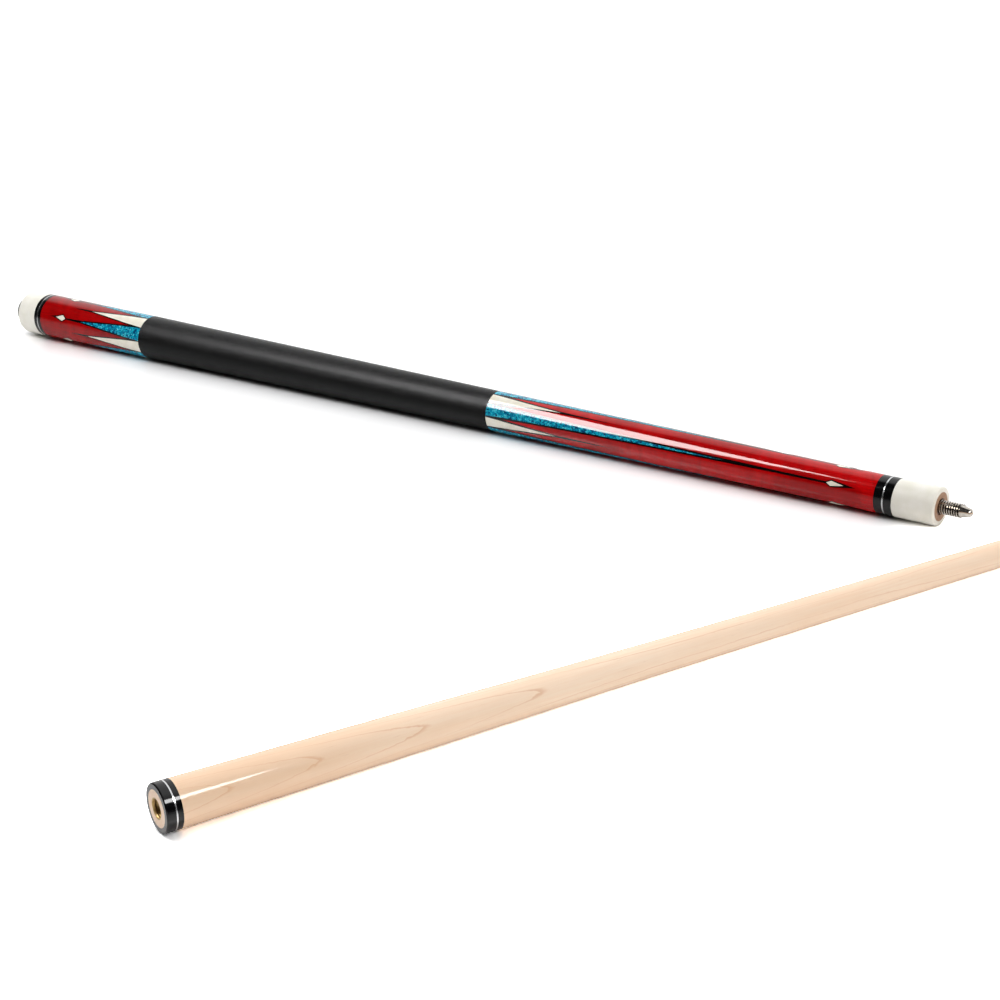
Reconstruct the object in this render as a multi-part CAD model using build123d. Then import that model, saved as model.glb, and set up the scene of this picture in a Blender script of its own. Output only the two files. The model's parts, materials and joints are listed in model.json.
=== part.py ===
"""A two-piece cue taken apart: the butt and the loose shaft lie side by side on a table, ready to be
screwed together. Millimetres, +Z up, the table is z = 0.

Every turned piece is drawn along its own stick, as (station, radius), and then laid on the table. A butt
station runs from the bumper's end (0) towards the joint; a shaft station runs from the joint face (0) to
the leather tip. The origin is the middle of the footprint of both sticks.
"""

import os
from math import asin, atan2, copysign, cos, degrees, radians, sin, tan

from build123d import *

# ---- how the two sticks lie ------------------------------------------------------------------------
SHAFT_START_X = 621.9       # joint end of the shaft, from the butt's bumper end, along the butt
SHAFT_START_Y = -475.5      # and across it
SHAFT_ANGLE = 69.1          # the shaft's direction in plan, from the butt's

# ---- butt: lengths along it ------------------------------------------------------------------------
BUMPER_PROUD = 6.5          # rubber behind the cap
CAP_LENGTH = 18.3
CAP_BLACK_RING = 2.9
CAP_SILVER_RING = 0.75
SLEEVE_LENGTH = 101.25
WRAP_LENGTH = 304.2
FOREARM_LENGTH = 264.8
JOINT_BLACK_RING = 5.0
JOINT_SILVER_RING = 0.8
COLLAR_LENGTH = 24.5

# ---- butt: diameters -------------------------------------------------------------------------------
CAP_DIAMETER = 30.8
WRAP_REAR_DIAMETER = 30.1
WRAP_FRONT_DIAMETER = 25.5
RING_REAR_DIAMETER = 21.86
JOINT_DIAMETER = 21.6
CAP_ROUNDING = 2.2
FACE_CHAMFER = 0.5          # on the collar and on the shaft's first ring

# ---- inside the butt -------------------------------------------------------------------------------
CAP_TENON_DIAMETER = 19.0   # handle core through sleeve, rings and cap
CAP_FLOOR = 6.5             # thickness of the cap's rear wall
JOINT_TENON_DIAMETER = 16.2 # forearm wood through rings and collar
WRAP_THICKNESS = 1.2
WEIGHT_THREAD_DIAMETER = 12.7
WEIGHT_THREAD_PITCH = 1.954
WEIGHT_THREAD_DEPTH = 1.05
WEIGHT_HOLE_DEPTH = 92.0
WEIGHT_BOLT_LENGTH = 38.0
WEIGHT_BOLT_SETBACK = 45.0  # from the core's rear end to the bolt
WEIGHT_HEX = 7.94
WEIGHT_HEX_DEPTH = 7.0
A_STUD_DIAMETER = 9.52
A_STUD_LENGTH = 64.0
THREAD_CREST_FLAT = 0.125   # share of the pitch
INLAY_OVERRUN = 1.0         # how far an inlay's cutter runs past the wrap's edge
RUNNING_CLEARANCE = 0.05    # radial, between a thread's crest and its hole
SEAT_CLEARANCE = 0.08       # radial, between the bumper's spigot or washer and the cap

# ---- bumper ----------------------------------------------------------------------------------------
BUMPER_DIAMETER = 21.0
BUMPER_ROUNDING = 2.0
SPIGOT_DIAMETER = 16.0
BUMPER_HOLE_DIAMETER = 6.4
STUD_HEAD_DIAMETER = 13.6
STUD_HEAD_THICKNESS = 3.0
STUD_HEAD_COVER = 4.0       # rubber behind the stud's head
STUD_ENGAGEMENT = 18.0      # thread inside the core
STUD_HEX = 4.76
STUD_HEX_DEPTH = 2.2
WASHER_THICKNESS = 0.8

# ---- joint pin and its insert ----------------------------------------------------------------------
PIN_DIAMETER = 7.94
PIN_PITCH = 1.411
PIN_THREAD_DEPTH = 0.87
PIN_PROUD = 18.85
PIN_NOSE_LENGTH = 6.75
PIN_BURIED = 38.0
PIN_RECESS_DIAMETER = 9.4
PIN_RECESS_DEPTH = 2.5
INSERT_WALL = 0.68
INSERT_LENGTH = 20.0
INSERT_CHAMFER = 0.35
INSERT_HOLE_RUNOUT = 3.0

# ---- shaft -----------------------------------------------------------------------------------------
SHAFT_LENGTH = 737.0
SHAFT_OUTER_RING = 4.15
SHAFT_SILVER_RING = 0.6
SHAFT_INNER_RING = 2.5
SHAFT_TENON_DIAMETER = 16.2
TIP_DIAMETER = 13.0
TAPER_END = 600.0           # from here to the tip the shaft is straight
# Share of the taper's length, and how much of the joint's extra radius is left there.
TAPER_SHAPE = (
    (0.1, 0.867), (0.2, 0.722), (0.3, 0.548), (0.4, 0.392), (0.52, 0.268), (0.65, 0.178), (0.8, 0.09),
)
TIP_LENGTH = 6.5
TIP_DOME = 2.6
TIP_PAD_THICKNESS = 0.8
FERRULE_LENGTH = 25.4
FERRULE_TENON_DIAMETER = 8.2
FERRULE_TENON_LENGTH = 18.0

# ---- inlays ----------------------------------------------------------------------------------------
POINT_COUNT = 5
POINT_TURN = 68.2           # from straight up to the first point, towards the front
INLAY_DEPTH = 1.2
# Along an inlay: share of the wood's length, from the wrap outwards, and half the inlay's width there.
SLEEVE_TEAL = ((0, 4.55), (0.15, 3.6), (0.5857, 0))
SLEEVE_TEAL_OUTLINE = ((0, 5.65), (0.15, 4.7), (0.5857, 0.95), (0.7368, 0.5))
SLEEVE_CREAM = ((0, 4.25), (0.15, 3.25), (0.5151, 0))
SLEEVE_CREAM_OUTLINE = ((0, 5.2), (0.15, 4.15), (0.5151, 0.85), (0.62, 0.45), (0.69, 0))
SLEEVE_DIAMOND = ((0.7427, 0), (0.7728, 2.15), (0.8358, 0))
SLEEVE_DIAMOND_OUTLINE = ((0.723, 0), (0.7728, 2.95), (0.8365, 0.95), (0.8978, 0))
FOREARM_TEAL = ((0, 4.05), (0.0283, 3.3), (0.1264, 2.4), (0.2395, 1.65), (0.4275, 0.88), (0.6405, 0))
FOREARM_TEAL_OUTLINE = (
    (0, 5.2), (0.0283, 4.45), (0.1264, 3.5), (0.2395, 2.65),
    (0.4275, 1.85), (0.6405, 1.1), (0.7676, 0.75), (0.8941, 0.6),
)
FOREARM_CREAM = ((0, 3.3), (0.0245, 2.85), (0.1, 1.55), (0.1998, 0))
FOREARM_CREAM_OUTLINE = ((0, 4.45), (0.0245, 4.0), (0.1, 2.6), (0.1998, 0.8), (0.28, 0.42), (0.3546, 0))
FOREARM_DIAMOND = ((0.8897, 0), (0.9003, 1.5), (0.9301, 0))
FOREARM_DIAMOND_OUTLINE = ((0.8837, 0), (0.9003, 2.2), (0.9585, 0))

# ---- stations and radii that follow from the sizes above -------------------------------------------
CAP_REAR = BUMPER_PROUD
CAP_FRONT = CAP_REAR + CAP_LENGTH
CORE_REAR = CAP_REAR + CAP_FLOOR
CAP_SILVER_REAR = CAP_FRONT + CAP_BLACK_RING
CAP_SILVER_FRONT = CAP_SILVER_REAR + CAP_SILVER_RING
SLEEVE_REAR = CAP_SILVER_FRONT + CAP_BLACK_RING
WRAP_REAR = SLEEVE_REAR + SLEEVE_LENGTH
WRAP_FRONT = WRAP_REAR + WRAP_LENGTH
RING_REAR = WRAP_FRONT + FOREARM_LENGTH
RING_SILVER_REAR = RING_REAR + JOINT_BLACK_RING
RING_SILVER_FRONT = RING_SILVER_REAR + JOINT_SILVER_RING
COLLAR_REAR = RING_SILVER_FRONT + JOINT_BLACK_RING
JOINT_FACE = COLLAR_REAR + COLLAR_LENGTH
PIN_TIP = JOINT_FACE + PIN_PROUD

BUTT_PROFILE = (
    (0, CAP_DIAMETER / 2),
    (CAP_FRONT, CAP_DIAMETER / 2),
    (WRAP_REAR, WRAP_REAR_DIAMETER / 2),
    (WRAP_FRONT, WRAP_FRONT_DIAMETER / 2),
    (RING_REAR, RING_REAR_DIAMETER / 2),
    (JOINT_FACE, JOINT_DIAMETER / 2),
)
CAP_TENON = CAP_TENON_DIAMETER / 2
JOINT_TENON = JOINT_TENON_DIAMETER / 2
SPIGOT = SPIGOT_DIAMETER / 2
CAP_BORE = SPIGOT + SEAT_CLEARANCE
WEIGHT_THREAD = WEIGHT_THREAD_DIAMETER / 2
WEIGHT_HOLE = WEIGHT_THREAD + RUNNING_CLEARANCE
PIN = PIN_DIAMETER / 2
INSERT_BORE = PIN + RUNNING_CLEARANCE
INSERT_OUTSIDE = INSERT_BORE + INSERT_WALL
JOINT = JOINT_DIAMETER / 2
TIP = TIP_DIAMETER / 2
TIP_BASE = SHAFT_LENGTH - TIP_LENGTH
PAD_BASE = TIP_BASE - TIP_PAD_THICKNESS
FERRULE_BASE = PAD_BASE - FERRULE_LENGTH
SHAFT_SILVER_REAR = SHAFT_OUTER_RING
SHAFT_SILVER_FRONT = SHAFT_SILVER_REAR + SHAFT_SILVER_RING
SHAFT_WOOD_START = SHAFT_SILVER_FRONT + SHAFT_INNER_RING


# ---- laying a stick on the table -------------------------------------------------------------------
def butt_radius(station):
    """Outside radius of the butt at a station."""
    for (start, first), (end, second) in zip(BUTT_PROFILE, BUTT_PROFILE[1:]):
        if station <= end:
            return first + (second - first) * (station - start) / (end - start)
    return BUTT_PROFILE[-1][1]


def lay(thick_station, thick_radius, thin_station, thin_radius):
    """Tilt, in degrees, and height of station 0 of a stick that rests on two of its circles."""
    tilt = atan2(thick_radius - thin_radius, thin_station - thick_station)
    return degrees(tilt), thick_station * sin(tilt) + thick_radius * cos(tilt)


RESTING_RIM = JOINT_FACE - FACE_CHAMFER
BUTT_TILT, BUTT_HEIGHT = lay(WRAP_REAR, butt_radius(WRAP_REAR), RESTING_RIM, butt_radius(RESTING_RIM))
SHAFT_TILT, SHAFT_HEIGHT = lay(SHAFT_WOOD_START, JOINT, SHAFT_LENGTH - TIP_DOME, TIP)


def on_table(x, y, height, plan_angle, tilt):
    """Place of a stick whose stations run along +X when it is drawn."""
    turned_in_plan = Location((x, y, height)) * Location((0, 0, 0), (0, 0, plan_angle))
    return turned_in_plan * Location((0, 0, 0), (0, tilt, 0))


# ---- turned shapes ---------------------------------------------------------------------------------
def turned(*outline):
    """A piece turned on a lathe: a closed outline of (station, radius) points, spun round the stick."""
    return revolve(make_face(Polyline(*outline, close=True)), axis=Axis.X)


def tube(start, end, bore):
    """A plain tube of the butt between two stations, as thick as the butt is there."""
    return turned((start, bore), (start, butt_radius(start)), (end, butt_radius(end)), (end, bore))


def rod(start, end, radius):
    """A plain round rod between two stations."""
    return turned((start, 0), (start, radius), (end, radius), (end, 0))


def hex_socket(start, depth, across_flats):
    """The hole for a hex key, opening towards the rear."""
    hexagon = RegularPolygon(across_flats / 2, 6, major_radius=False)
    return Location((start, 0, 0), (0, 90, 0)) * extrude(hexagon, depth)


def thread(start, end, crest, depth, pitch):
    """Outline of a screw thread between two stations, drawn as a 60 degree ring groove to each pitch."""
    half_mouth = pitch * (1 - THREAD_CREST_FLAT) / 2
    half_root = half_mouth - depth * tan(radians(30))
    outline = []
    middle = start + pitch / 2
    while middle + half_mouth < end:
        outline += [(middle - half_mouth, crest), (middle - half_root, crest - depth)]
        outline += [(middle + half_root, crest - depth), (middle + half_mouth, crest)]
        middle += pitch
    return outline


def rim(shape, station, radius):
    """The round edge of a turned piece at one station and radius, to be chamfered or rounded."""
    def is_rim(edge):
        return abs(edge.arc_center.X - station) < 0.01 and abs(edge.radius - radius) < 0.01
    return [edge for edge in shape.edges().filter_by(GeomType.CIRCLE) if is_rim(edge)]


def dome(base, radius, top):
    """A round nose, as an arc from its base circle to its top on the axis."""
    rise = top - base
    ball = (radius * radius + rise * rise) / (2 * rise)
    half_angle = asin(radius / ball) / 2
    middle = (top - ball + ball * cos(half_angle), ball * sin(half_angle))
    return ThreePointArc((base, radius), middle, (top, 0))


# ---- rear end of the butt --------------------------------------------------------------------------
def rubber_bumper():
    """Rubber foot, moulded over the head of its stud, with a spigot that seats in the cap."""
    radius = BUMPER_DIAMETER / 2
    hole = BUMPER_HOLE_DIAMETER / 2
    head = STUD_HEAD_DIAMETER / 2
    head_end = STUD_HEAD_COVER + STUD_HEAD_THICKNESS
    spigot_end = CORE_REAR - WASHER_THICKNESS
    rubber = turned(
        (0, hole), (0, radius), (CAP_REAR, radius), (CAP_REAR, SPIGOT), (spigot_end, SPIGOT),
        (spigot_end, WEIGHT_THREAD), (head_end, WEIGHT_THREAD), (head_end, head), (STUD_HEAD_COVER, head),
        (STUD_HEAD_COVER, hole),
    )
    return fillet(rim(rubber, 0, radius), BUMPER_ROUNDING)


def bumper_stud():
    """Steel stud in the rubber: its thread goes into the weight hole of the handle core."""
    head = STUD_HEAD_DIAMETER / 2
    head_end = STUD_HEAD_COVER + STUD_HEAD_THICKNESS
    stud_end = CORE_REAR + STUD_ENGAGEMENT
    chamfer_start = stud_end - WEIGHT_THREAD_DEPTH
    root = WEIGHT_THREAD - WEIGHT_THREAD_DEPTH
    stud = turned(
        (STUD_HEAD_COVER, 0), (STUD_HEAD_COVER, head), (head_end, head), (head_end, WEIGHT_THREAD),
        *thread(CORE_REAR, chamfer_start, WEIGHT_THREAD, WEIGHT_THREAD_DEPTH, WEIGHT_THREAD_PITCH),
        (chamfer_start, WEIGHT_THREAD), (stud_end, root), (stud_end, 0),
    )
    return stud - hex_socket(STUD_HEAD_COVER, STUD_HEX_DEPTH, STUD_HEX)


def bumper_washer():
    """Steel washer on the stud, between the rubber spigot and the end of the handle core."""
    bore = WEIGHT_HOLE
    outside = SPIGOT - SEAT_CLEARANCE
    start = CORE_REAR - WASHER_THICKNESS
    return turned((start, bore), (start, outside), (CORE_REAR, outside), (CORE_REAR, bore))


def butt_cap():
    """Ivory-coloured cap, open at the rear for the bumper's spigot and seated on the core's tenon."""
    radius = CAP_DIAMETER / 2
    cap = turned(
        (CAP_REAR, CAP_BORE), (CAP_REAR, radius), (CAP_FRONT, radius), (CAP_FRONT, CAP_TENON),
        (CORE_REAR, CAP_TENON), (CORE_REAR, CAP_BORE),
    )
    return fillet(rim(cap, CAP_REAR, radius), CAP_ROUNDING)


def weight_bolt():
    """Steel grub bolt that sets the cue's weight, well down the hole behind the bumper's stud."""
    start = CORE_REAR + WEIGHT_BOLT_SETBACK
    end = start + WEIGHT_BOLT_LENGTH
    bolt = turned(
        (start, 0), (start, WEIGHT_THREAD),
        *thread(start, end, WEIGHT_THREAD, WEIGHT_THREAD_DEPTH, WEIGHT_THREAD_PITCH),
        (end, WEIGHT_THREAD), (end, 0),
    )
    return bolt - hex_socket(start, WEIGHT_HEX_DEPTH, WEIGHT_HEX)


def handle_core():
    """Wooden rod under the wrap; its rear tenon carries the sleeve, the rings and the cap."""
    hole_end = CORE_REAR + WEIGHT_HOLE_DEPTH
    stud = A_STUD_DIAMETER / 2
    stud_start = WRAP_FRONT - A_STUD_LENGTH / 2
    return turned(
        (hole_end, 0), (hole_end, WEIGHT_HOLE), (CORE_REAR, WEIGHT_HOLE), (CORE_REAR, CAP_TENON),
        (WRAP_REAR, CAP_TENON), (WRAP_REAR, butt_radius(WRAP_REAR) - WRAP_THICKNESS),
        (WRAP_FRONT, butt_radius(WRAP_FRONT) - WRAP_THICKNESS), (WRAP_FRONT, stud), (stud_start, stud),
        (stud_start, 0),
    )


def grip_wrap():
    """Leather, one sheet round the handle core, flush with the wood at both ends."""
    outer_rear = butt_radius(WRAP_REAR)
    outer_front = butt_radius(WRAP_FRONT)
    return turned(
        (WRAP_REAR, outer_rear - WRAP_THICKNESS), (WRAP_REAR, outer_rear), (WRAP_FRONT, outer_front),
        (WRAP_FRONT, outer_front - WRAP_THICKNESS),
    )


# ---- front end of the butt -------------------------------------------------------------------------
def forearm_stud():
    """Steel stud, half in the handle core and half in the forearm."""
    return rod(WRAP_FRONT - A_STUD_LENGTH / 2, WRAP_FRONT + A_STUD_LENGTH / 2, A_STUD_DIAMETER / 2)


def forearm_blank():
    """Front wood before it is inlaid, with the tenon that carries the rings and the collar."""
    stud = A_STUD_DIAMETER / 2
    stud_end = WRAP_FRONT + A_STUD_LENGTH / 2
    recess = PIN_RECESS_DIAMETER / 2
    recess_floor = JOINT_FACE - PIN_RECESS_DEPTH
    pin_end = JOINT_FACE - PIN_BURIED
    return turned(
        (stud_end, 0), (stud_end, stud), (WRAP_FRONT, stud), (WRAP_FRONT, butt_radius(WRAP_FRONT)),
        (RING_REAR, butt_radius(RING_REAR)), (RING_REAR, JOINT_TENON), (JOINT_FACE, JOINT_TENON),
        (JOINT_FACE, recess), (recess_floor, recess), (recess_floor, PIN), (pin_end, PIN), (pin_end, 0),
    )


def joint_collar():
    """Ivory-coloured collar at the joint face."""
    collar = tube(COLLAR_REAR, JOINT_FACE, JOINT_TENON)
    return chamfer(rim(collar, JOINT_FACE, JOINT), FACE_CHAMFER)


def joint_pin():
    """Steel pin: plain where it is glued into the forearm, threaded in front, with a smooth round nose."""
    root = PIN - PIN_THREAD_DEPTH
    thread_start = JOINT_FACE - PIN_RECESS_DEPTH
    thread_end = PIN_TIP - PIN_NOSE_LENGTH
    crest_end = thread_end - PIN_THREAD_DEPTH
    body = Polyline(
        (PIN_TIP, 0), (JOINT_FACE - PIN_BURIED, 0), (JOINT_FACE - PIN_BURIED, PIN),
        *thread(thread_start, crest_end, PIN, PIN_THREAD_DEPTH, PIN_PITCH), (crest_end, PIN),
        (thread_end, root), (PIN_TIP - root, root),
    )
    nose = dome(PIN_TIP - root, root, PIN_TIP)
    return revolve(make_face([*body.edges(), nose]), axis=Axis.X)


# ---- points and diamonds ---------------------------------------------------------------------------
def inlay_prism(half_widths, wrap_end, other_end, turn):
    """An upright prism over the flat outline of one inlay, turned to its place round the butt."""
    length = other_end - wrap_end
    overrun = copysign(INLAY_OVERRUN, length)
    one_side = [(wrap_end + (share * length or -overrun), half) for share, half in half_widths]
    other_side = [(station, -half) for station, half in reversed(one_side) if half > 0]
    outline = make_face(Polyline(*one_side, *other_side, close=True))
    return Location((0, 0, 0), (turn, 0, 0)) * extrude(outline, CAP_DIAMETER, dir=(0, 0, 1))


def prisms(half_widths, wrap_end, other_end, first_turn):
    """The same inlay outline, repeated evenly round the butt."""
    turns = [first_turn + 360 * index / POINT_COUNT for index in range(POINT_COUNT)]
    return [inlay_prism(half_widths, wrap_end, other_end, turn) for turn in turns]


def inlaid(blank, wrap_end, other_end, teal, cream, diamond, outlines):
    """Let the points, the diamonds and their black outlines into a wooden blank, flush with its surface."""
    cream_turn = POINT_TURN + 180 / POINT_COUNT
    skin = turned(
        (wrap_end, butt_radius(wrap_end) - INLAY_DEPTH), (wrap_end, butt_radius(wrap_end)),
        (other_end, butt_radius(other_end)), (other_end, butt_radius(other_end) - INLAY_DEPTH),
    )
    groups = {
        "teal_points": prisms(teal, wrap_end, other_end, POINT_TURN),
        "cream_points": prisms(cream, wrap_end, other_end, cream_turn),
        "diamonds": prisms(diamond, wrap_end, other_end, POINT_TURN),
    }
    teal_outline, cream_outline, diamond_outline = outlines
    black = prisms(teal_outline, wrap_end, other_end, POINT_TURN)
    black += prisms(cream_outline, wrap_end, other_end, cream_turn)
    black += prisms(diamond_outline, wrap_end, other_end, POINT_TURN)
    bed = skin & black[0].fuse(*black[1:])
    pieces = {"wood": (blank - bed).solids()}
    coloured = []
    for name, group in groups.items():
        pieces[name] = [solid for prism in group for solid in (skin & prism).solids()]
        coloured += group
    pieces["outlines"] = bed.cut(*coloured).solids()
    return pieces


# ---- shaft -----------------------------------------------------------------------------------------
def shaft_wood():
    """Maple shaft: a tenon through the joint rings, the long taper, the straight stroke and a tip tenon."""
    hole_end = INSERT_LENGTH + INSERT_HOLE_RUNOUT
    tenon = SHAFT_TENON_DIAMETER / 2
    tip_tenon = FERRULE_TENON_DIAMETER / 2
    tenon_end = FERRULE_BASE + FERRULE_TENON_LENGTH
    start = (SHAFT_WOOD_START, JOINT)
    end = (TAPER_END, TIP)
    taper = Spline(start, *[(TAPER_END * at, TIP + (JOINT - TIP) * left) for at, left in TAPER_SHAPE], end)
    joint_end = Polyline(
        (tenon_end, 0), (hole_end, 0), (hole_end, INSERT_BORE), (INSERT_LENGTH, INSERT_BORE),
        (INSERT_LENGTH, INSERT_OUTSIDE), (0, INSERT_OUTSIDE), (0, tenon), (SHAFT_WOOD_START, tenon), start,
    )
    tip_end = Polyline(
        end, (FERRULE_BASE, TIP), (FERRULE_BASE, tip_tenon), (tenon_end, tip_tenon), (tenon_end, 0)
    )
    return revolve(make_face([*joint_end.edges(), taper, *tip_end.edges()]), axis=Axis.X)


def shaft_ring(start, end):
    """One ring of the set at the shaft's joint end."""
    tenon = SHAFT_TENON_DIAMETER / 2
    return turned((start, tenon), (start, JOINT), (end, JOINT), (end, tenon))


def shaft_insert():
    """Brass bush in the joint face that takes the joint pin."""
    bush = turned(
        (0, INSERT_BORE), (0, INSERT_OUTSIDE), (INSERT_LENGTH, INSERT_OUTSIDE), (INSERT_LENGTH, INSERT_BORE)
    )
    return chamfer(rim(bush, 0, INSERT_BORE), INSERT_CHAMFER)


def ferrule():
    """White ferrule, capped, on the shaft's tip tenon."""
    bore = FERRULE_TENON_DIAMETER / 2
    bore_end = FERRULE_BASE + FERRULE_TENON_LENGTH
    return turned(
        (FERRULE_BASE, bore), (FERRULE_BASE, TIP), (PAD_BASE, TIP), (PAD_BASE, 0), (bore_end, 0),
        (bore_end, bore),
    )


def leather_tip():
    """Domed leather tip, glued on its pad."""
    shoulder = SHAFT_LENGTH - TIP_DOME
    base = Polyline((SHAFT_LENGTH, 0), (TIP_BASE, 0), (TIP_BASE, TIP), (shoulder, TIP))
    return revolve(make_face([*base.edges(), dome(shoulder, TIP, SHAFT_LENGTH)]), axis=Axis.X)


# ---- the whole cue ---------------------------------------------------------------------------------
def butt_pieces():
    """Every piece of the butt, by node name, drawn along its own stick."""
    sleeve = inlaid(
        tube(SLEEVE_REAR, WRAP_REAR, CAP_TENON), WRAP_REAR, SLEEVE_REAR,
        SLEEVE_TEAL, SLEEVE_CREAM, SLEEVE_DIAMOND,
        (SLEEVE_TEAL_OUTLINE, SLEEVE_CREAM_OUTLINE, SLEEVE_DIAMOND_OUTLINE),
    )
    forearm = inlaid(
        forearm_blank(), WRAP_FRONT, RING_REAR,
        FOREARM_TEAL, FOREARM_CREAM, FOREARM_DIAMOND,
        (FOREARM_TEAL_OUTLINE, FOREARM_CREAM_OUTLINE, FOREARM_DIAMOND_OUTLINE),
    )
    pieces = {
        "rubber_bumper": rubber_bumper(),
        "bumper_stud": bumper_stud(),
        "bumper_washer": bumper_washer(),
        "butt_cap": butt_cap(),
        "cap_ring_rear": tube(CAP_FRONT, CAP_SILVER_REAR, CAP_TENON),
        "cap_ring_silver": tube(CAP_SILVER_REAR, CAP_SILVER_FRONT, CAP_TENON),
        "cap_ring_front": tube(CAP_SILVER_FRONT, SLEEVE_REAR, CAP_TENON),
        "handle_core": handle_core(),
        "weight_bolt": weight_bolt(),
        "grip_wrap": grip_wrap(),
        "forearm_stud": forearm_stud(),
        "joint_ring_rear": tube(RING_REAR, RING_SILVER_REAR, JOINT_TENON),
        "joint_ring_silver": tube(RING_SILVER_REAR, RING_SILVER_FRONT, JOINT_TENON),
        "joint_ring_front": tube(RING_SILVER_FRONT, COLLAR_REAR, JOINT_TENON),
        "joint_collar": joint_collar(),
        "joint_pin": joint_pin(),
    }
    pieces.update({"sleeve_" + name: solids for name, solids in sleeve.items()})
    pieces.update({"forearm_" + name: solids for name, solids in forearm.items()})
    return pieces


def shaft_pieces():
    """Every piece of the shaft, by node name, drawn along its own stick."""
    outer_ring = shaft_ring(0, SHAFT_SILVER_REAR)
    return {
        "shaft_wood": shaft_wood(),
        "shaft_ring_outer": chamfer(rim(outer_ring, 0, JOINT), FACE_CHAMFER),
        "shaft_ring_silver": shaft_ring(SHAFT_SILVER_REAR, SHAFT_SILVER_FRONT),
        "shaft_ring_inner": shaft_ring(SHAFT_SILVER_FRONT, SHAFT_WOOD_START),
        "shaft_insert": shaft_insert(),
        "ferrule": ferrule(),
        "tip_pad": rod(PAD_BASE, TIP_BASE, TIP),
        "leather_tip": leather_tip(),
    }


def placed(pieces, place):
    """Each piece as a list of solids, moved to its place; a piece is one shape or a group of inlays."""
    nodes = {}
    for name, piece in pieces.items():
        solids = piece if isinstance(piece, list) else piece.solids()
        nodes[name] = [place * solid for solid in solids]
    return nodes


def laid_out():
    """Both sticks on the table, with the origin in the middle of their footprint."""
    butt_place = on_table(0, 0, BUTT_HEIGHT, 0, BUTT_TILT)
    shaft_place = on_table(SHAFT_START_X, SHAFT_START_Y, SHAFT_HEIGHT, SHAFT_ANGLE, SHAFT_TILT)
    nodes = placed(butt_pieces(), butt_place) | placed(shaft_pieces(), shaft_place)
    box = Compound([solid for solids in nodes.values() for solid in solids]).bounding_box()
    middle = Location((-(box.min.X + box.max.X) / 2, -(box.min.Y + box.max.Y) / 2, 0))
    print("origin shift", middle.position, "lowest point", box.min.Z)
    return placed(nodes, middle)


os.makedirs("parts", exist_ok=True)
for node, solids in laid_out().items():
    export_step(solids[0] if len(solids) == 1 else Compound(solids), f"parts/{node}.step")
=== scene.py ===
"""A two-piece cue taken apart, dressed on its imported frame.

The butt and the loose shaft lie side by side. Each is described along its own stick: the station is the
distance from the butt's bumper end, or from the shaft's joint face. Metres, and radians for angles.
"""

import json
from math import asin, atan2, cos, pi, radians, sin, tan

import bmesh
import bpy
from mathutils import Euler, Matrix, Vector


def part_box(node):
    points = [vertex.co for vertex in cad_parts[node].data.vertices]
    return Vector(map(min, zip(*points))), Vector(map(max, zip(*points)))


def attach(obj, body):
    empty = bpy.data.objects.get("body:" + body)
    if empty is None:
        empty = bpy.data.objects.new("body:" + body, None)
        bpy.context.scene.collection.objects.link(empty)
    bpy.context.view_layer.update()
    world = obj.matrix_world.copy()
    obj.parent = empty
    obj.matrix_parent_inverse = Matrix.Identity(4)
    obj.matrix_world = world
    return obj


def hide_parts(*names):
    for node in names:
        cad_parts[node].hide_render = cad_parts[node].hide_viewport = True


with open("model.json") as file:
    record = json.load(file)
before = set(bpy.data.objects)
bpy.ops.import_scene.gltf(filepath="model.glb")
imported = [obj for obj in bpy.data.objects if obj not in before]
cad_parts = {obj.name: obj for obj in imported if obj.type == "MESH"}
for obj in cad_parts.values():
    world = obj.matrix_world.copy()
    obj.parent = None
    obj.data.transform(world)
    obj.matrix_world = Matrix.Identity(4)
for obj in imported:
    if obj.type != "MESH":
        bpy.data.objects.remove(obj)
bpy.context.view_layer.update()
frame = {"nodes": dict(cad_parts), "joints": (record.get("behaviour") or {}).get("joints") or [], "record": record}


# ---- handle core, weight bolt and forearm stud --------------------------------------------------------
# A plain maple dowel runs from the cap into the wrap. A steel bolt screwed into its rear end sets the
# balance, and a threaded steel stud joins it to the forearm. Only the dowel's rear end can be seen.

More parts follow.
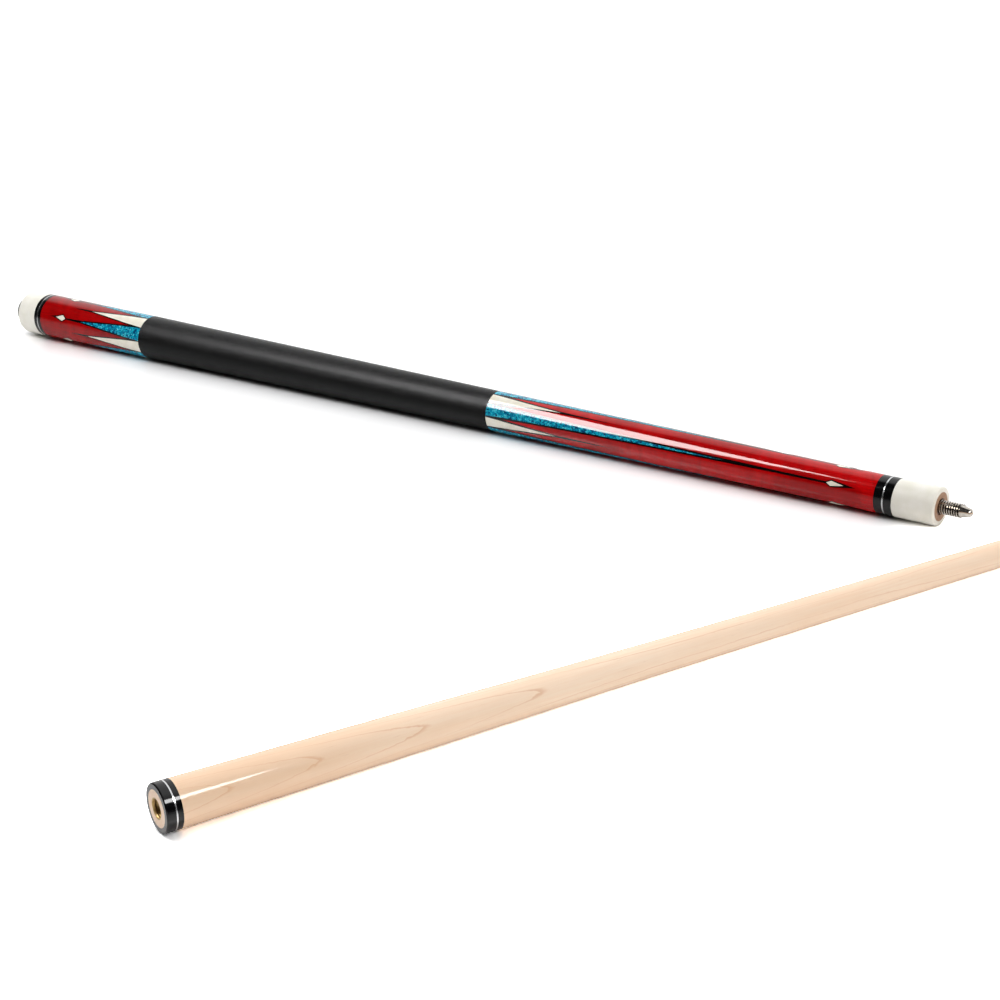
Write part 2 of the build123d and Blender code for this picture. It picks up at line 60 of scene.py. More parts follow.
class Shade:
    """One output of a node, in a material's node tree, that Python's operators work on."""

    def __init__(self, tree, socket):
        self.tree = tree
        self.socket = socket

    def node(self, kind, settings=None, sockets=None, output=0):
        made = self.tree.nodes.new(kind)
        for name, value in (settings or {}).items():
            if name == "stops":
                fill_ramp(made.color_ramp, value)
            else:
                setattr(made, name, value)
        for key, value in (sockets or {}).items():
            if isinstance(value, Shade):
                self.tree.links.new(value.socket, made.inputs[key])
            else:
                made.inputs[key].default_value = value
        return None if output is None else Shade(self.tree, made.outputs[output])

    def math(self, operation, *others):
        return self.node("ShaderNodeMath", {"operation": operation}, dict(enumerate((self, *others))))

    def vector(self, operation, *others, output=0):
        return self.node("ShaderNodeVectorMath", {"operation": operation}, dict(enumerate((self, *others))),
                         output)

    def __add__(self, other): return self.math("ADD", other)
    def __radd__(self, other): return self.math("ADD", other)
    def __sub__(self, other): return self.math("SUBTRACT", other)
    def __rsub__(self, other): return self.math("MULTIPLY_ADD", -1.0, other)
    def __mul__(self, other): return self.math("MULTIPLY", other)
    def __rmul__(self, other): return self.math("MULTIPLY", other)
    def __truediv__(self, other): return self.math("DIVIDE", other)
    def __pow__(self, other): return self.math("POWER", other)

    def step(self, low, high):
        """0 below low, 1 above high, and smooth between them."""
        return self.node("ShaderNodeMapRange", {"interpolation_type": "SMOOTHSTEP"},
                         {0: self, 1: low, 2: high})

    def span(self, low, high, to_low, to_high):
        return self.node("ShaderNodeMapRange", {"clamp": True},
                         {0: self, 1: low, 2: high, 3: to_low, 4: to_high})

    def mix(self, first, second, blend="MIX"):
        """first where this is 0 and second where it is 1, as colours."""
        settings = {"data_type": "RGBA", "blend_type": blend}
        return self.node("ShaderNodeMix", settings, {0: self, 6: colour(first), 7: colour(second)}, 2)

    def ramp(self, *stops):
        return self.node("ShaderNodeValToRGB", {"stops": stops}, {0: self})

    def parts(self):
        split = self.node("ShaderNodeSeparateXYZ", None, {0: self})
        return [Shade(self.tree, s) for s in split.socket.node.outputs]

    def point(self, x, y, z):
        return self.node("ShaderNodeCombineXYZ", None, {0: x, 1: y, 2: z})

    def noise(self, scale, detail=2.0, roughness=0.5, distortion=0.0):
        sockets = {"Vector": self, "Scale": scale, "Detail": detail, "Roughness": roughness,
                   "Distortion": distortion}
        return self.node("ShaderNodeTexNoise", None, sockets)

    def cells(self, scale, feature="F1", output="Distance", randomness=1.0):
        sockets = {"Vector": self, "Scale": scale, "Randomness": randomness}
        return self.node("ShaderNodeTexVoronoi", {"feature": feature}, sockets, output)

    def bump(self, strength, distance, normal=None):
        sockets = {"Height": self, "Strength": strength, "Distance": distance}
        if normal is not None:
            sockets["Normal"] = normal
        return self.node("ShaderNodeBump", None, sockets)


def fill_ramp(ramp, stops):
    while len(ramp.elements) < len(stops):
        ramp.elements.new(1.0)
    for element, (place, shade) in zip(ramp.elements, stops):
        element.position = place
        element.color = colour(shade)


def colour(value):
    return value if isinstance(value, Shade) else (*value[:3], 1.0)


def srgb(red, green, blue):
    """A colour given as it shows on a screen, 0 to 255, as the shader's linear colour."""
    return tuple(((c / 255 + 0.055) / 1.055) ** 2.4 if c > 10 else c / 255 / 12.92
                 for c in (red, green, blue))


def new_finish(name):
    """An empty material, and the handle that its nodes are made from."""
    material = bpy.data.materials.new(name)
    material.use_nodes = True
    material.node_tree.nodes.clear()
    return material, Shade(material.node_tree, None)


def finish_with(start, **sockets):
    """Ends a material in one Principled shader."""
    named = {key.replace("_", " "): value for key, value in sockets.items()}
    if not isinstance(named["Base Color"], Shade):
        named["Base Color"] = colour(named["Base Color"])
    shader = start.node("ShaderNodeBsdfPrincipled", None, named)
    start.node("ShaderNodeOutputMaterial", None, {"Surface": shader}, None)


def dress(material, *names):
    for name in names:
        slots = frame["nodes"][name].data.materials
        slots.clear()
        slots.append(material)


class Stick:
    """One of the two sticks: x runs along it from station 0, and z points away from the table."""

    def __init__(self, start, axis):
        self.start = Vector(start)
        self.turn = Euler((0.0, asin(-axis[2]), atan2(axis[1], axis[0])))

    def place(self):
        return Matrix.Translation(self.start) @ self.turn.to_matrix().to_4x4()

    def station(self, point):
        return (self.place().inverted() @ Vector(point)).x

    def local(self, shade):
        """A surface point in the stick's own axes, for a material's patterns."""
        point = shade.node("ShaderNodeTexCoord", None, None, "Object")
        sockets = {"Vector": point, "Location": self.start, "Rotation": self.turn}
        return shade.node("ShaderNodeMapping", {"vector_type": "TEXTURE"}, sockets)

    def turned_normal(self, shade, taper):
        """The true taper's normal on turned faces, whose radius shrinks by taper a metre. End faces keep
        theirs."""
        x, y, z = self.local(shade).parts()
        radius = (y * y + z * z) ** 0.5
        outward = shade.point(radius * taper, y, z)
        outward = shade.node("ShaderNodeMapping", {"vector_type": "VECTOR"},
                             {0: outward, "Rotation": self.turn})
        settings = {"vector_type": "NORMAL", "convert_from": "OBJECT", "convert_to": "WORLD"}
        outward = shade.node("ShaderNodeVectorTransform", settings, {0: outward}).vector("NORMALIZE")
        own = shade.node("ShaderNodeNewGeometry", None, None, "Normal")
        turned = outward.vector("DOT_PRODUCT", own, output=1).step(0.8, 0.9)
        return shade.node("ShaderNodeMix", {"data_type": "VECTOR"}, {0: turned, 4: own, 5: outward}, 1)


joints = {joint["name"]: joint for joint in frame["joints"]}
mounts = {mount["name"]: mount for mount in frame["record"]["mounts"]}
butt = Stick(joints["bumper_turn"]["pos_m"], -Vector(joints["bumper_turn"]["axis"]))
BUTT_TAPER = 0.0075         # radius lost along the sleeve, wrap and forearm


def plain_maple():
    material, shade = new_finish("plain_maple")
    x, y, z = butt.local(shade).parts()
    fibre = shade.point(x * 30, y * 900, z * 900).noise(1.0, 4.0, 0.6)
    wood = fibre.ramp((0.3, srgb(205, 168, 122)), (0.7, srgb(230, 199, 155)))
    finish_with(shade, Base_Color=wood, Roughness=fibre.span(0.3, 0.7, 0.5, 0.6),
                Normal=fibre.bump(0.3, 0.00005))
    return material


def turned_steel(name, tint, roughness):
    """Steel off the lathe: fine rings round the stick that catch the light."""
    material, shade = new_finish(name)
    x, y, z = butt.local(shade).parts()
    rings = shade.point(x * 9000, y * 200, z * 200).noise(1.0, 2.0)
    stain = shade.point(x * 300, y * 300, z * 300).noise(1.0, 3.0)
    metal = stain.ramp((0.35, tuple(c * 0.85 for c in tint)), (0.65, tint))
    finish_with(shade, Base_Color=metal, Metallic=1.0,
                Roughness=rings.span(0.2, 0.8, roughness, roughness + 0.15),
                Normal=rings.bump(0.15, 0.00003))
    return material


STEEL = (0.55, 0.56, 0.57)
dress(plain_maple(), "handle_core")
machined_steel = turned_steel("machined_steel", STEEL, 0.25)
dress(machined_steel, "weight_bolt", "forearm_stud")


# ---- sleeve and forearm wood ----------------------------------------------------------------------------
# Turned from maple that is stained red right through its outer layer and sealed under a deep clear
# lacquer. Pale grain and a little curl show through the stain; the bare tenon shows at the joint face.

LACQUER_ROUGHNESS = 0.07
TENON_EDGE = 0.0086         # inside this radius the wood is bare


def red_wood(name, deep, light):
    material, shade = new_finish(name)
    x, y, z = butt.local(shade).parts()
    radius = (y * y + z * z) ** 0.5
    curl = shade.point(x * 160 + y * 90, y * 60, z * 60).noise(1.0, 3.0, 0.6, 0.6)
    fibre = shade.point(x * 40, y * 1300, z * 1300).noise(1.0, 5.0, 0.65)
    patches = shade.point(x * 18, y * 45, z * 45).noise(1.0, 2.0)
    tone = (curl * 0.35 + fibre * 0.4 + patches * 0.45).step(0.46, 0.76)
    stained = tone.mix(deep, light)
    bare = fibre.ramp((0.3, srgb(150, 112, 88)), (0.7, srgb(186, 150, 122)))
    bare_mask = 1 - radius.step(TENON_EDGE - 0.0002, TENON_EDGE)
    finish_with(shade, Base_Color=bare_mask.mix(stained, bare),
                Roughness=bare_mask.span(0, 1, LACQUER_ROUGHNESS, 0.6),
                Specular_IOR_Level=0.38, Normal=butt.turned_normal(shade, BUTT_TAPER))
    return material


dress(red_wood("red_sleeve", srgb(130, 0, 1), srgb(170, 3, 6)), "sleeve_wood")
dress(red_wood("red_forearm", srgb(158, 0, 2), srgb(204, 5, 10)), "forearm_wood")


# ---- inlaid points and diamonds ----------------------------------------------------------------------
# Five long points rise from each end of the wrap. Each is crushed blue-green stone set in resin, cream
# points stand between them, small cream diamonds end them, and all have a thin black veneer round them.

def black_veneer():
    material, shade = new_finish("black_veneer")
    x, y, z = butt.local(shade).parts()
    fibre = shade.point(x * 60, y * 1500, z * 1500).noise(1.0, 3.0)
    wood = fibre.ramp((0.35, srgb(2, 2, 2)), (0.7, srgb(10, 7, 7)))
    finish_with(shade, Base_Color=wood, Roughness=LACQUER_ROUGHNESS,
                Normal=butt.turned_normal(shade, BUTT_TAPER))
    return material


def crushed_stone():
    material, shade = new_finish("crushed_stone")
    point = butt.local(shade)
    chip = point.cells(1000, output="Color").parts()[0]
    grit = point.cells(2600, output="Color").parts()[1]
    cloud = point.noise(260, 2.0)
    tone = chip * 0.5 + grit * 0.3 + cloud * 0.3
    stone = tone.ramp((0.28, srgb(2, 34, 78)), (0.42, srgb(0, 92, 138)), (0.56, srgb(0, 146, 182)),
                      (0.74, srgb(4, 184, 208)), (0.9, srgb(120, 222, 230)))
    finish_with(shade, Base_Color=stone, Roughness=LACQUER_ROUGHNESS,
                Normal=butt.turned_normal(shade, BUTT_TAPER))
    return material


def cream_inlay():
    material, shade = new_finish("cream_inlay")
    point = butt.local(shade)
    cloud = point.noise(140, 3.0)
    cream = cloud.ramp((0.35, srgb(238, 232, 214)), (0.65, srgb(249, 244, 231)))
    finish_with(shade, Base_Color=cream, Roughness=LACQUER_ROUGHNESS,
                Normal=butt.turned_normal(shade, BUTT_TAPER))
    return material


dress(black_veneer(), "sleeve_outlines", "forearm_outlines")
dress(crushed_stone(), "sleeve_teal_points", "forearm_teal_points")
dress(cream_inlay(), "sleeve_cream_points", "forearm_cream_points", "sleeve_diamonds", "forearm_diamonds")


# ---- cap, collar and the rings beside them ------------------------------------------------------------
# The cap and the collar are cast ivory-coloured resin, turned and polished. Each is parted from the red
# wood by black phenolic rings with a thin silver ring between them, glued on the wood's tenon.

def ivory_resin():
    material, shade = new_finish("ivory_resin")
    x, y, z = butt.local(shade).parts()
    cloud = shade.point(x * 120, y * 120, z * 120).noise(1.0, 3.0)
    speck = shade.point(x * 1800, y * 1800, z * 1800).noise(1.0, 2.0)
    ivory = (cloud * 0.8 + speck * 0.2).ramp((0.35, srgb(241, 238, 225)), (0.65, srgb(249, 246, 237)))
    finish_with(shade, Base_Color=ivory, Roughness=cloud.span(0.3, 0.7, 0.12, 0.2),
                Normal=speck.bump(0.08, 0.00003))
    return material


def black_phenolic(stick, name):
    material, shade = new_finish(name)
    point = stick.local(shade)
    cloud = point.noise(400, 3.0)
    x, y, z = point.parts()
    radius = (y * y + z * z) ** 0.5
    finish_with(shade, Base_Color=cloud.ramp((0.3, srgb(3, 3, 4)), (0.7, srgb(10, 9, 11))),
                Roughness=cloud.span(0.3, 0.7, 0.06, 0.1), Normal=stick.turned_normal(shade, BUTT_TAPER))
    return material


def silver(stick, name):
    material, shade = new_finish(name)
    x, y, z = stick.local(shade).parts()
    brushed = shade.point(x * 12000, y * 250, z * 250).noise(1.0, 2.0)
    metal = brushed.ramp((0.3, (0.68, 0.69, 0.7)), (0.7, (0.8, 0.81, 0.82)))
    finish_with(shade, Base_Color=metal, Metallic=1.0, Roughness=brushed.span(0.2, 0.8, 0.14, 0.26),
                Normal=stick.turned_normal(shade, BUTT_TAPER))
    return material


dress(ivory_resin(), "butt_cap", "joint_collar")
dress(black_phenolic(butt, "black_phenolic"), "cap_ring_rear", "cap_ring_front",
      "joint_ring_rear", "joint_ring_front")
dress(silver(butt, "silver"), "cap_ring_silver", "joint_ring_silver")


# ---- grip wrap ------------------------------------------------------------------------------------------
# Thin black leather, glued round the handle and pressed flush at both ends. It has a fine pressed grain,
# and its two long edges meet in one straight seam on the side away from the diamonds.

SEAM_ANGLE = radians(200.0)  # round the stick from its side away from the table
SEAM_WIDTH = 0.0003


def wrap_leather():
    material, shade = new_finish("wrap_leather")
    point = butt.local(shade)
    x, y, z = point.parts()
    grain = point.cells(1500, "DISTANCE_TO_EDGE")
    pores = point.noise(3500, 3.0, 0.6)
    wear = shade.point(x * 14, y * 30, z * 30).noise(1.0, 3.0)
    beside = (y * cos(SEAM_ANGLE) - z * sin(SEAM_ANGLE)).math("ABSOLUTE")
    far_side = (y * sin(SEAM_ANGLE) + z * cos(SEAM_ANGLE)).step(0.001, 0.0)
    seam = (beside + far_side).step(SEAM_WIDTH / 2, SEAM_WIDTH)
    # painted shade: the grain's creases and the seam line come out darker in the leather's colour, as shade in
    # them; the wear is the leather's own uneven tone, and the creases also give the bump
    crease_shade_and_height = (grain.step(0.0, 0.25) * 0.7 + pores * 0.4) * seam
    leather = (crease_shade_and_height * 0.5 + wear * 0.5).ramp((0.25, srgb(2, 2, 2)), (0.75, srgb(11, 11, 12)))
    finish_with(shade, Base_Color=leather, Roughness=(wear * 0.5 + pores * 0.5).span(0.3, 0.7, 0.2, 0.26),
                Specular_IOR_Level=0.15,
                Normal=crease_shade_and_height.bump(0.6, 0.00012, butt.turned_normal(shade, BUTT_TAPER)))
    return material


dress(wrap_leather(), "grip_wrap")


# ---- rubber bumper ----------------------------------------------------------------------------------------
# A moulded black rubber bumper with a steel stud bonded in it. The stud screws into the handle core, and a
# steel washer under it spreads the load; a hex key passes through the bumper to the weight bolt.

def bumper_rubber():
    material, shade = new_finish("bumper_rubber")
    point = butt.local(shade)
    skin = point.noise(2500, 4.0, 0.6)
    scuff = point.noise(160, 4.0, 0.6)
    rubber = scuff.ramp((0.35, srgb(20, 20, 21)), (0.75, srgb(44, 43, 43)))
    finish_with(shade, Base_Color=rubber, Roughness=scuff.span(0.3, 0.7, 0.6, 0.8),
                Normal=skin.bump(0.3, 0.0001))
    return material


dress(bumper_rubber(), "rubber_bumper")
dress(machined_steel, "bumper_stud", "bumper_washer")


# ---- joint pin ------------------------------------------------------------------------------------------
# A nickel-plated steel pin. Its plain end is glued into the forearm; in front of it a right-hand thread
# stands out of the joint face, and a smooth tapered nose at its end finds the shaft's hole.

PIN_PITCH = 0.001411
PIN_DEPTH = 0.00087         # of the thread
PIN_CREST = 0.00018         # flat on the thread's crest
PIN_FACETS = 40             # to a turn
PIN_PROUD = 0.01885         # beyond the joint face
RUNNING_CLEARANCE = 0.00005
RECESS_DEPTH = 0.0025       # round the pin in the joint face
NOSE_LENGTH = 0.0072
NOSE_RADIUS = 0.0036        # where the nose leaves the thread
NOSE_END = 0.0025           # radius of its round end

joint_face = butt.station(mounts["butt_joint_face"]["pos_m"])
pin_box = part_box("joint_pin")
pin_start = butt.station((pin_box[0].x, *butt.start.yz)) + 0.00003
pin_tip = joint_face + PIN_PROUD
pin_radius = mounts["shaft_socket"]["dims"]["r_mm"] / 1000 - RUNNING_CLEARANCE
thread_start = joint_face - RECESS_DEPTH
nose_start = pin_tip - NOSE_LENGTH


def spun(profile):
    """A closed shape turned round the x axis, from (station, radius) points whose first and last lie on it."""
    shape = bmesh.new()
    points = [shape.verts.new((station, 0.0, radius)) for station, radius in profile]
    edges = [shape.edges.new(pair) for pair in zip(points, points[1:])]
    bmesh.ops.spin(shape, geom=points + edges, axis=(1, 0, 0), cent=(0, 0, 0), angle=2 * pi, steps=PIN_FACETS,
                   use_merge=True)
    bmesh.ops.remove_doubles(shape, verts=shape.verts, dist=1e-7)
    bmesh.ops.recalc_face_normals(shape, faces=shape.faces)
    return shape


def screw_thread(start, end):
    """A right-hand thread between two stations: the outline of one turn, wound along the axis."""
    root = pin_radius - PIN_DEPTH
    flank = PIN_DEPTH * tan(radians(30))
    outline = ((0, pin_radius), (PIN_CREST, pin_radius), (PIN_CREST + flank, root), (PIN_PITCH - flank, root),
               (PIN_PITCH, pin_radius))
    turns = round((end - start) / PIN_PITCH) - 1
    shape = bmesh.new()
    points = [shape.verts.new((start + along, 0.0, radius)) for along, radius in outline]
    edges = [shape.edges.new(pair) for pair in zip(points, points[1:])]
    bmesh.ops.spin(shape, geom=points + edges, axis=(1, 0, 0), cent=(0, 0, 0), steps=PIN_FACETS * turns,
                   dvec=(PIN_PITCH / PIN_FACETS, 0, 0), angle=2 * pi * turns)
    bmesh.ops.remove_doubles(shape, verts=shape.verts, dist=1e-7)
    bmesh.ops.holes_fill(shape, edges=[edge for edge in shape.edges if edge.is_boundary])
    bmesh.ops.recalc_face_normals(shape, faces=shape.faces)
    return shape


def one_mesh(name, place, shapes):
    """The shapes joined as one object and moved to their place, edges sharper than 30 degrees left sharp."""
    mesh = bpy.data.meshes.new(name)
    whole = bmesh.new()
    for shape in shapes:
        shape.to_mesh(mesh)
        whole.from_mesh(mesh)
        shape.free()
    whole.transform(place)
    for face in whole.faces:
        face.smooth = True
    whole.to_mesh(mesh)
    whole.free()
    mesh.set_sharp_from_angle(angle=radians(30))
    made = bpy.data.objects.new(name, mesh)
    bpy.context.scene.collection.objects.link(made)
    return made


def plated_pin():
    material, shade = new_finish("plated_pin")
    point = butt.local(shade)
    x, y, z = point.parts()
    stain = point.noise(700, 3.0)
    lathe = shade.point(x * 8000, y * 300, z * 300).noise(1.0, 2.0)
    metal = stain.ramp((0.35, (0.5, 0.455, 0.4)), (0.65, (0.72, 0.67, 0.61)))
    # painted shade: the thread's roots are coloured nearly black, as the shade that falls in them
    height = ((y * y + z * z) ** 0.5).step(pin_radius - 0.8 * PIN_DEPTH, pin_radius - 0.15 * PIN_DEPTH)
    in_thread = x.step(nose_start + 0.0004, nose_start)
    metal_with_painted_root_shade = ((1 - height) * in_thread).mix(metal, (0.05, 0.042, 0.035))
    finish_with(shade, Base_Color=metal_with_painted_root_shade, Metallic=1.0, Roughness=lathe.span(0.2, 0.8, 0.1, 0.2),
                Normal=lathe.bump(0.1, 0.00002))
    return material


nose_arc = [radians(turn) for turn in (78, 60, 42, 26, 12)]
round_end = [(pin_tip - NOSE_END + NOSE_END * cos(turn), NOSE_END * sin(turn)) for turn in nose_arc]
pin = one_mesh("threaded_pin", butt.place(), (
    spun(((pin_start, 0), (pin_start, pin_radius), (thread_start, pin_radius), (thread_start, 0))),
    screw_thread(thread_start - PIN_PITCH, nose_start + PIN_PITCH),
    spun(((nose_start, 0), (nose_start, NOSE_RADIUS - 0.0002), (nose_start + 0.0003, NOSE_RADIUS), *round_end,
          (pin_tip, 0))),
))
pin.data.materials.append(plated_pin())
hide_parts("joint_pin")
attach(pin, "butt")


# ---- shaft ----------------------------------------------------------------------------------------------
# One length of hard maple, straight grained and slightly inclined to the stick, so its growth rings come
# out as long flames. It is lacquered glossy near the joint and left satin towards the tip.

INSERT_MIDDLE = 0.011675    # from the joint face
shaft_axis = -Vector(mounts["shaft_socket"]["axis"])
shaft = Stick(Vector(mounts["shaft_socket"]["pos_m"]) - INSERT_MIDDLE * shaft_axis, shaft_axis)
SHAFT_TAPER = 0.006
RING_SPACING = 0.0026       # between growth rings
GRAIN_BOW = 0.1             # rise of the growth rings along the stick, over the square of the distance
GRAIN_TURN = 0.295          # from the station where they lie level
GRAIN_FACING = (-0.85, 0.53)
LEATHER_LAYER = 0.0007      # of the tip


def shaft_maple():
    material, shade = new_finish("shaft_maple")
    x, y, z = shaft.local(shade).parts()
    drift = shade.point(x * 5, y * 30, z * 30).noise(1.0, 2.0) - 0.5
    waver = shade.point(x * 30, y * 220, z * 220).noise(1.0, 3.0) - 0.5
    bow = (x - GRAIN_TURN) ** 2.0 * GRAIN_BOW
    depth = y * GRAIN_FACING[0] + z * GRAIN_FACING[1] + bow + drift * 0.003 + waver * 0.0006
    ring = (depth / RING_SPACING).math("FRACT")
    late = ring.step(0.88, 0.965) * (1 - ring.step(0.97, 0.99))
    fibre = shade.point(x * 20, y * 900, z * 900).noise(1.0, 5.0, 0.62)
    streak = shade.point(x * 70, y * 1500, z * 1500).noise(1.0, 2.0).step(0.66, 0.78)
    cloud = shade.point(x * 14, y * 60, z * 60).noise(1.0, 3.0)
    strength = cloud.step(0.35, 0.65)
    pale = (fibre * 0.55 + cloud * 0.45).ramp((0.3, srgb(248, 213, 181)), (0.7, srgb(254, 229, 203)))
    wood = (late * (strength * 0.4 + 0.25)).mix(pale, srgb(228, 178, 138))
    wood = (streak * 0.22).mix(wood, srgb(196, 146, 108))
    wood = (x.step(0.16, 0.03) * 0.4).mix(wood, srgb(235, 188, 146))
    gloss = x.step(0.03, 0.30)  # 0 near the joint, where the lacquer is glossiest
    finish_with(shade, Base_Color=wood, Roughness=gloss.span(0, 1, 0.08, 0.26),
                Normal=shaft.turned_normal(shade, SHAFT_TAPER))
    return material


def brass_insert():
    material, shade = new_finish("brass_insert")
    x, y, z = shaft.local(shade).parts()
    turns = x / PIN_PITCH + y.math("ARCTAN2", z) / (2 * pi)
    thread = (turns.math("FRACT") - 0.5).math("ABSOLUTE") * 2
    worn = shade.point(x * 600, y * 600, z * 600).noise(1.0, 3.0)
    metal = worn.ramp((0.35, (0.42, 0.27, 0.1)), (0.65, (0.6, 0.42, 0.19)))
    finish_with(shade, Base_Color=metal, Metallic=1.0, Roughness=worn.span(0.3, 0.7, 0.42, 0.55),
                Normal=thread.bump(0.6, 0.0006))
    return material


def ferrule_resin():
    material, shade = new_finish("ferrule_resin")
    point = shaft.local(shade)
    cloud = point.noise(200, 3.0)
    finish_with(shade, Base_Color=cloud.ramp((0.35, srgb(236, 233, 222)), (0.65, srgb(245, 243, 234))),
                Roughness=cloud.span(0.3, 0.7, 0.14, 0.24), Normal=shaft.turned_normal(shade, 0.0))
    return material


def pad_fibre():
    material, shade = new_finish("pad_fibre")
    grit = shaft.local(shade).noise(3000, 3.0)
    finish_with(shade, Base_Color=grit.ramp((0.3, srgb(16, 16, 18)), (0.7, srgb(36, 34, 36))),
                Roughness=0.6, Normal=grit.bump(0.2, 0.00005))
    return material


def tip_leather():
    material, shade = new_finish("tip_leather")
    point = shaft.local(shade)
    x, y, z = point.parts()
    layer = (x / LEATHER_LAYER).math("FRACT")
    line = layer.step(0.0, 0.1) * (1 - layer.step(0.9, 1.0))
    nap = point.noise(2200, 4.0, 0.65)
    leather = nap.ramp((0.3, srgb(104, 66, 40)), (0.7, srgb(150, 102, 66)))
    finish_with(shade, Base_Color=line.mix(srgb(70, 44, 28), leather), Roughness=0.75,
                Normal=(nap * 0.6 + line * 0.4).bump(0.5, 0.00015))
    return material


dress(shaft_maple(), "shaft_wood")
dress(black_phenolic(shaft, "shaft_phenolic"), "shaft_ring_outer", "shaft_ring_inner")
dress(silver(shaft, "shaft_silver"), "shaft_ring_silver")
dress(brass_insert(), "shaft_insert")
dress(ferrule_resin(), "ferrule")
dress(pad_fibre(), "tip_pad")
dress(tip_leather(), "leather_tip")


# ---- table, light and camera ----------------------------------------------------------------------------
# The sticks lie on a white sweep. A pale surround, a wide lamp above and two softer keys light them, and two
# softboxes show only as long highlights in the lacquer. The floor is brighter to the camera than it is, and
# its lightness changes beside each stick: along the butt it holds a painted contact shadow and a softer
# painted shadow, away from the butt and beside the shaft it holds painted light that washes out the
# shaft's shadow, and a lighter strip along the shaft is painted light that the floor throws and mirrors onto it.

FLOOR_REACH = 12.0
FLOOR_BY_BUTT = 0.65        # the floor's own lightness, which the lacquer mirrors
# a lighter strip of floor along the shaft: painted light that it throws and mirrors onto the shaft
FLOOR_PAINTED_LIGHT_BY_SHAFT = 0.92
SHAFT_STRIP = (0.05, 0.08)  # from the shaft's line, where the second gives way to the first
SEEN_BY_BUTT = 1.3          # lightness as the camera sees it, beyond 1 so that lit floor comes out white
PAINTED_CONTACT_SHADOW = 0.8       # a painted contact shadow, taken off it where the butt meets the floor
PAINTED_SOFT_SHADOW = 0.14        # and in a softer painted shadow beside the butt
PAINTED_LIGHT_AWAY_FROM_BUTT = 1.0              # painted light, added to it away from the butt
PAINTED_LIGHT_BY_SHAFT = (2.2, 4.0)  # painted light at the shaft's joint face and further along, washing out the shaft's shadow

sweep = bmesh.new()
bmesh.ops.create_grid(sweep, x_segments=1, y_segments=1, size=FLOOR_REACH)
floor_mesh = bpy.data.meshes.new("table_top")
sweep.to_mesh(floor_mesh)
sweep.free()
table_top = bpy.data.objects.new("table_top", floor_mesh)
bpy.context.scene.collection.objects.link(table_top)

material, shade = new_finish("white_sweep")
paper = shade.node("ShaderNodeTexCoord", None, None, "Object").noise(900, 2.0)
seen = shade.node("ShaderNodeLightPath", None, None, "Is Camera Ray")
paper = paper.span(0.3, 0.7, 0.98, 1.0)
along_shaft, from_shaft = shaft.local(shade).parts()[:2]
along_butt, from_butt = butt.local(shade).parts()[:2]
from_shaft = from_shaft.math("ABSOLUTE")
from_butt = from_butt.math("ABSOLUTE")
# painted contact shadow: a dark band of floor, seen by the camera only, just in front of where the butt meets it
painted_contact_shadow_mask = from_butt.step(0.011, 0.0035) * along_butt.step(-0.004, 0.01)
painted_contact_shadow_mask = painted_contact_shadow_mask * along_butt.step(joint_face + 0.008, joint_face - 0.002)
# painted soft shadow taken off further out beside the butt, and painted light added away from it
seen_with_painted_butt_shade = SEEN_BY_BUTT - painted_contact_shadow_mask * PAINTED_CONTACT_SHADOW - from_butt.step(0.012, 0.03) * PAINTED_SOFT_SHADOW
seen_with_painted_butt_shade = seen_with_painted_butt_shade + from_butt.step(0.07, 0.2) * PAINTED_LIGHT_AWAY_FROM_BUTT
# painted light: beside the shaft the camera sees the floor far brighter, which washes out the shaft's shadow
painted_light_by_shaft = along_shaft.step(-0.03, 0.12).span(0, 1, *PAINTED_LIGHT_BY_SHAFT)
by_shaft = from_shaft.step(SHAFT_STRIP[1], SHAFT_STRIP[0])
level_seen = by_shaft * (painted_light_by_shaft - seen_with_painted_butt_shade) + seen_with_painted_butt_shade
# the lighter strip along the shaft is painted light, for what the floor throws and mirrors onto it
level_lit = by_shaft.span(0, 1, FLOOR_BY_BUTT, FLOOR_PAINTED_LIGHT_BY_SHAFT)
level = (seen * (level_seen - level_lit) + level_lit) * paper
white = shade.point(level, level, level * 1.004)
matt = shade.node("ShaderNodeBsdfDiffuse", None, {"Color": white})
sheen = shade.node("ShaderNodeBsdfGlossy", None, {"Color": (1, 1, 1, 1), "Roughness": 0.12})
facing = shade.node("ShaderNodeFresnel", None, {"IOR": 1.4})
both = shade.node("ShaderNodeMixShader", None, {0: facing, 1: matt, 2: sheen})
shade.node("ShaderNodeOutputMaterial", None, {"Surface": both}, None)
floor_mesh.materials.append(material)

world = bpy.data.worlds.new("surround")
world.use_nodes = True
world.node_tree.nodes.clear()
bpy.context.scene.world = world
shade = Shade(world.node_tree, None)
seen = shade.node("ShaderNodeLightPath", None, None, "Is Camera Ray")
across = shade.node("ShaderNodeTexCoord", None, None, "Generated").parts()[1]
backdrop = across.step(0.0, 0.3).span(0, 1, 0.03, 1.0)
level = seen * (1 - backdrop) + backdrop
background = shade.node("ShaderNodeBackground", None, {"Color": (1, 1, 1, 1), "Strength": level})
shade.node("ShaderNodeOutputWorld", None, {"Surface": background}, None)


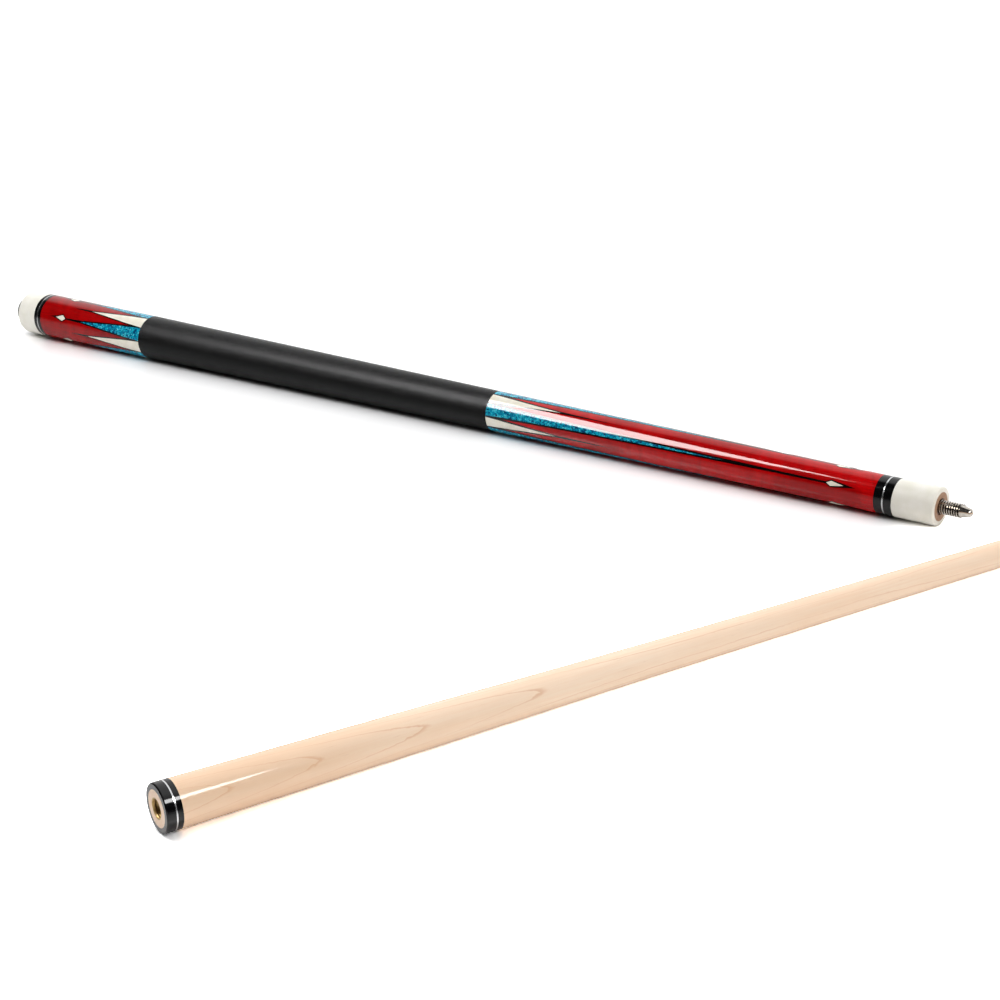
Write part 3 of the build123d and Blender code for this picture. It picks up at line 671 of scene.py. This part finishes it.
def lamp(name, place, outward, along, size, level, mirrored, shape="RECTANGLE"):
    """A softbox at place that faces away from outward, its first side along the given direction and its
    surface as bright as level, where 1 is white. A mirrored one only shows in gloss, another only lights."""
    data = bpy.data.lights.new(name, "AREA")
    data.shape = shape
    data.size, data.size_y = size
    data.energy = level * pi * size[0] * size[1]
    made = bpy.data.objects.new(name, data)
    bpy.context.scene.collection.objects.link(made)
    back = Vector(outward).normalized()
    side = Vector(along)
    side = (side - side.dot(back) * back).normalized()
    turn = Matrix((side, back.cross(side), back)).transposed()
    made.matrix_world = Matrix.Translation(place) @ turn.to_4x4()
    made.visible_diffuse = not mirrored
    made.visible_glossy = mirrored
    made.visible_camera = False


lamp("ceiling_lamp", (0.0, 0.7, 1.9), (0, 0.25, 1), (1, 0, 0), (2.6, 2.2), 1.0, False)
lamp("left_key", (-0.9, -0.45, 1.35), (-0.5, -0.4, 0.9), (1, -1, 0), (1.1, 1.1), 4.2, False)
lamp("right_key", (1.9, -0.05, 0.95), (0.9, 0.0, 0.45), (0, 1, 0), (1.0, 1.0), 3.5, False)
LEFT_CORNER = (0.639, -0.537, -0.117)  # along one side of the left softbox
lamp("left_softbox", (-0.494, -0.319, 0.666), (-0.33, -0.559, 0.761), LEFT_CORNER, (0.51, 0.51), 20.0, True)
lamp("right_softbox", (0.937, -0.541, 0.771), (0.766, 0.122, 0.655), (0, 1, 0), (0.76, 0.42), 12.0, True,
     "ELLIPSE")

FOCAL = 2070.1              # in pixels of a 1000-pixel square picture
HALF_PICTURE = 500.0
camera_data = bpy.data.cameras.new("camera")
camera_data.angle = 2 * atan2(HALF_PICTURE, FOCAL)
camera = bpy.data.objects.new("camera", camera_data)
bpy.context.scene.collection.objects.link(camera)
right = Vector((0.79999, 0.59928, -0.02979))
up = Vector((-0.18967, 0.29967, 0.93500))
back = right.cross(up)
turn = Matrix((right, up, back)).transposed()
camera.matrix_world = Matrix.Translation((0.73815, -0.84102, 0.4173)) @ turn.to_4x4()
bpy.context.scene.camera = camera
bpy.context.scene.view_settings.view_transform = "Standard"
